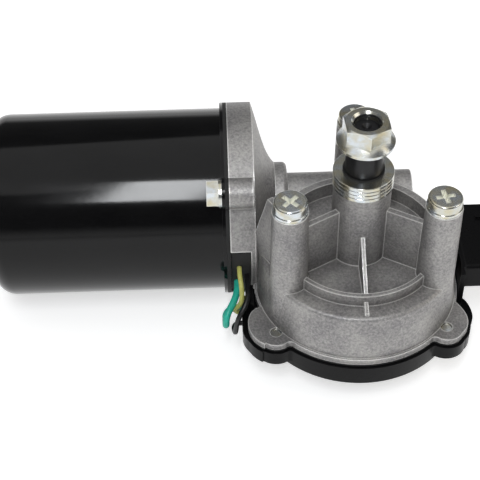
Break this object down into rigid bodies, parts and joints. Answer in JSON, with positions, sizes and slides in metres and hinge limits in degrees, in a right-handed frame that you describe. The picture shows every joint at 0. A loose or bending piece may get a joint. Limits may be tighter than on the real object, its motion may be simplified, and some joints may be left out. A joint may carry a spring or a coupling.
{
  "type": "wiper motor",
  "caption": "Geared wiper motor: a black motor can beside a cast worm gearbox, with an upright output shaft and nut, mounting bosses, a black base cover and a plug socket.",
  "frame": {"origin": "on the output shaft's axis, level with the tops of the three mounting bosses", "axes": "+Z along the output shaft towards its nut, -X towards the motor can's closed end, so the motor's own axis lies along X behind the output shaft"},
  "size_m": [0.1846, 0.0995, 0.0914],
  "materials": {
    "cast_aluminium": "as cast",
    "black_paint": "gloss",
    "black_plastic": "fine moulded grain",
    "black_rubber": "matt",
    "zinc_steel": "zinc plated",
    "dark_steel": "blackened",
    "bright_steel": "ground",
    "spring_steel": "satin",
    "lamination_steel": "coated sheet edges",
    "ferrite": "sintered, matt",
    "copper": "bare or enamelled copper",
    "brass": "stamped sheet",
    "bronze": "sintered, oil filled",
    "phenolic": "pressed board",
    "carbon": "pressed copper graphite",
    "gear_plastic": "natural acetal",
    "thrust_plastic": "natural nylon",
    "green_insulation": "smooth",
    "yellow_insulation": "smooth",
    "black_insulation": "smooth"
  },
  "bodies": {
    "frame": {"gear_housing": "cast_aluminium", "motor_can": "black_paint", "can_gasket": "black_rubber", "cover_gasket": "black_rubber", "gear_cover": "black_plastic", "connector_housing": "black_plastic", "lead_grommet": "black_rubber", "shaft_seal": "black_rubber", "magnets": "ferrite", "magnet_clips": "spring_steel", "bearing_outer_race": "bright_steel", "bearing_retainer": "spring_steel", "worm_end_bush": "bronze", "thrust_button": "thrust_plastic", "rear_bush": "bronze", "rear_thrust_pad": "thrust_plastic", "bush_retainer": "spring_steel", "brush_card": "phenolic", "brush_boxes": "brass", "brush_spring_low": "spring_steel", "brush_spring_common": "spring_steel", "brush_spring_high": "spring_steel", "choke_coils": "copper", "upper_bush": "bronze", "lower_bush": "bronze", "bearing_collar": "zinc_steel", "spacer_ring": "zinc_steel", "shim_washer": "zinc_steel", "top_ring": "zinc_steel", "contact_plate": "phenolic", "contact_fingers": "brass", "terminals": "brass", "mount_washers": "zinc_steel", "mount_screws": "zinc_steel", "cover_screws": "zinc_steel", "can_bolts": "zinc_steel", "lead_green": "green_insulation", "lead_yellow": "yellow_insulation", "lead_black": "black_insulation"},
    "armature": {"armature_shaft": "bright_steel", "armature_core": "lamination_steel", "windings": "copper", "commutator_hub": "phenolic", "commutator_bars": "copper", "bearing_inner_race": "bright_steel"},
    "ball_set": {"bearing_balls": "bright_steel", "bearing_cage": "thrust_plastic"},
    "output": {"output_shaft": "dark_steel", "worm_gear": "gear_plastic", "contact_disc": "brass", "drive_plate": "zinc_steel", "gear_thrust_washer": "spring_steel", "shaft_circlip": "dark_steel", "shaft_nut": "zinc_steel"},
    "low_speed_brush": {"brush_low": "carbon"},
    "common_brush": {"brush_common": "carbon"},
    "high_speed_brush": {"brush_high": "carbon"}
  },
  "joints": [
    {"name": "armature_spin", "type": "hinge", "parent": "frame", "child": "armature", "pos_m": [0, 0.0319, -0.0356], "axis": [1, 0, 0], "continuous": true},
    {"name": "output_spin", "type": "hinge", "parent": "frame", "child": "output", "pos_m": [0, 0, 0], "axis": [0, 0, 1], "continuous": true},
    {"name": "ball_orbit", "type": "hinge", "parent": "frame", "child": "ball_set", "pos_m": [0, 0.0319, -0.0356], "axis": [1, 0, 0], "continuous": true},
    {"name": "low_brush_slide", "type": "slide", "parent": "frame", "child": "low_speed_brush", "axis": [0, 0, 1], "range_m": [0, 0.0015], "stiffness_N_per_m": 300, "springref_m": -0.005, "deforming": ["brush_spring_low"]},
    {"name": "common_brush_slide", "type": "slide", "parent": "frame", "child": "common_brush", "axis": [0, 0, -1], "range_m": [0, 0.0015], "stiffness_N_per_m": 300, "springref_m": -0.005, "deforming": ["brush_spring_common"]},
    {"name": "high_brush_slide", "type": "slide", "parent": "frame", "child": "high_speed_brush", "axis": [0, 0.866, 0.5], "range_m": [0, 0.0015], "stiffness_N_per_m": 300, "springref_m": -0.005, "deforming": ["brush_spring_high"]}
  ],
  "couplings": [
    {"joint": "output_spin", "follows": "armature_spin", "ratio": 0.018519},
    {"joint": "ball_orbit", "follows": "armature_spin", "ratio": 0.41176}
  ]
}
